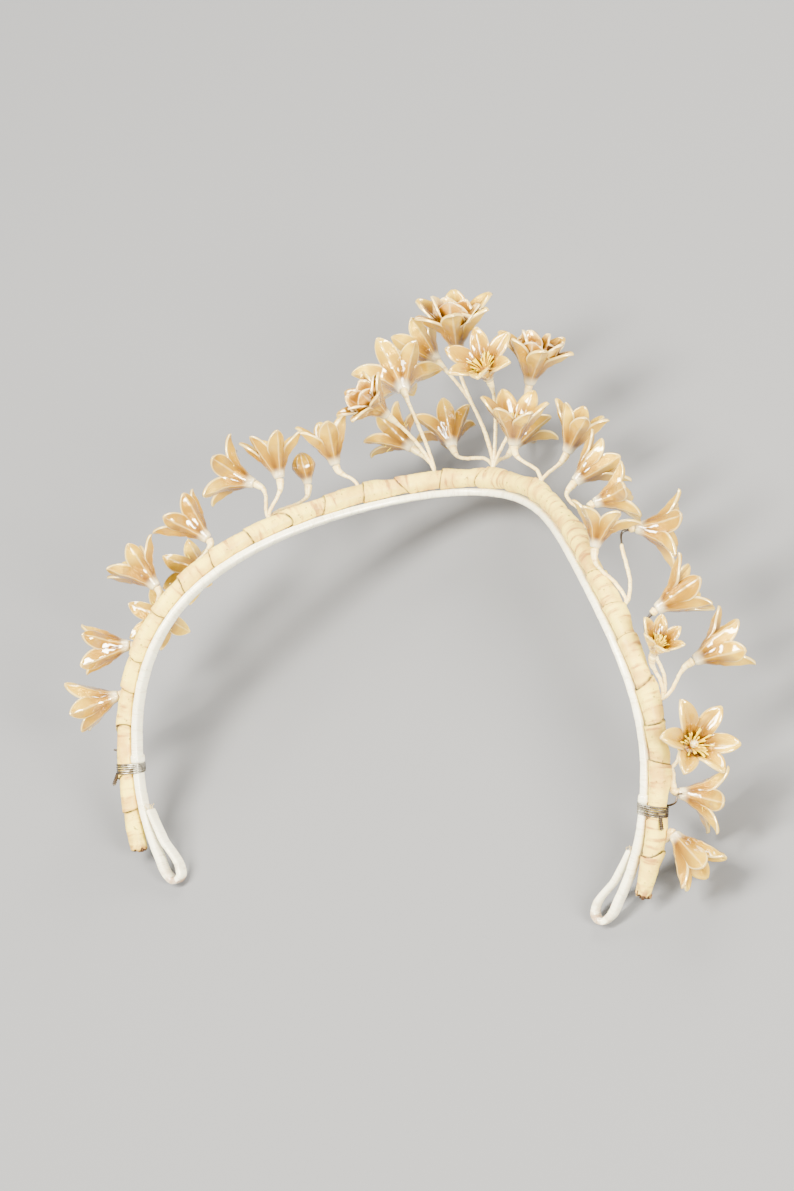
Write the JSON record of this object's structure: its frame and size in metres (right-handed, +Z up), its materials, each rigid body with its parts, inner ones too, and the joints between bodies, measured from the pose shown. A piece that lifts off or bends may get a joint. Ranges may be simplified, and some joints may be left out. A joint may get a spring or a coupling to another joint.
{
  "type": "bridal crown",
  "caption": "Bridal crown of pearled wax blossoms on wired stems, bound along an arched tape-wrapped frame with a satin head band inside.",
  "frame": {"origin": "on the table under the middle of the crown's box, with the crown lying on its front", "axes": "+X to the wearer's right, +Y from the leg ends towards the crest, +Z up from the table; the crown's back faces up and towards -Y"},
  "size_m": [0.2336, 0.1952, 0.0673],
  "materials": {
    "pearled_wax": "pearled wax, cream to amber",
    "paper_tape": "crinkled cream paper tape",
    "satin_tape": "smooth white satin tape",
    "stem_tape": "thin waxed paper tape",
    "binding_wire": "dull tinned wire"
  },
  "bodies": {
    "root": {"binding_left": "binding_wire", "binding_right": "binding_wire", "bud_blossom_01": "pearled_wax", "cup_blossom_01": "pearled_wax", "cup_blossom_02": "pearled_wax", "cup_blossom_03": "pearled_wax", "cup_blossom_04": "pearled_wax", "cup_blossom_05": "pearled_wax", "cup_blossom_06": "pearled_wax", "cup_blossom_07": "pearled_wax", "cup_blossom_08": "pearled_wax", "cup_blossom_09": "pearled_wax", "cup_blossom_10": "pearled_wax", "cup_blossom_11": "pearled_wax", "cup_blossom_12": "pearled_wax", "cup_blossom_13": "pearled_wax", "cup_blossom_14": "pearled_wax", "double_blossom_01": "pearled_wax", "double_blossom_02": "pearled_wax", "double_blossom_03": "pearled_wax", "head_band": "satin_tape", "spray_crest_left": "stem_tape", "spray_crest_middle": "stem_tape", "spray_crest_right": "stem_tape", "spray_left_crest": "stem_tape", "spray_left_high": "stem_tape", "spray_left_low": "stem_tape", "spray_left_mid": "stem_tape", "spray_left_upper": "stem_tape", "spray_right_crest": "stem_tape", "spray_right_high": "stem_tape", "spray_right_low": "stem_tape", "spray_right_mid": "stem_tape", "spray_right_upper": "stem_tape", "star_blossom_01": "pearled_wax", "star_blossom_02": "pearled_wax", "star_blossom_03": "pearled_wax", "star_blossom_04": "pearled_wax", "star_blossom_05": "pearled_wax", "star_blossom_06": "pearled_wax", "star_blossom_07": "pearled_wax", "star_blossom_08": "pearled_wax", "star_blossom_09": "pearled_wax", "star_blossom_10": "pearled_wax", "star_blossom_11": "pearled_wax", "star_blossom_12": "pearled_wax", "star_blossom_13": "pearled_wax", "wrapped_frame": "paper_tape"}
  },
  "joints": []
}
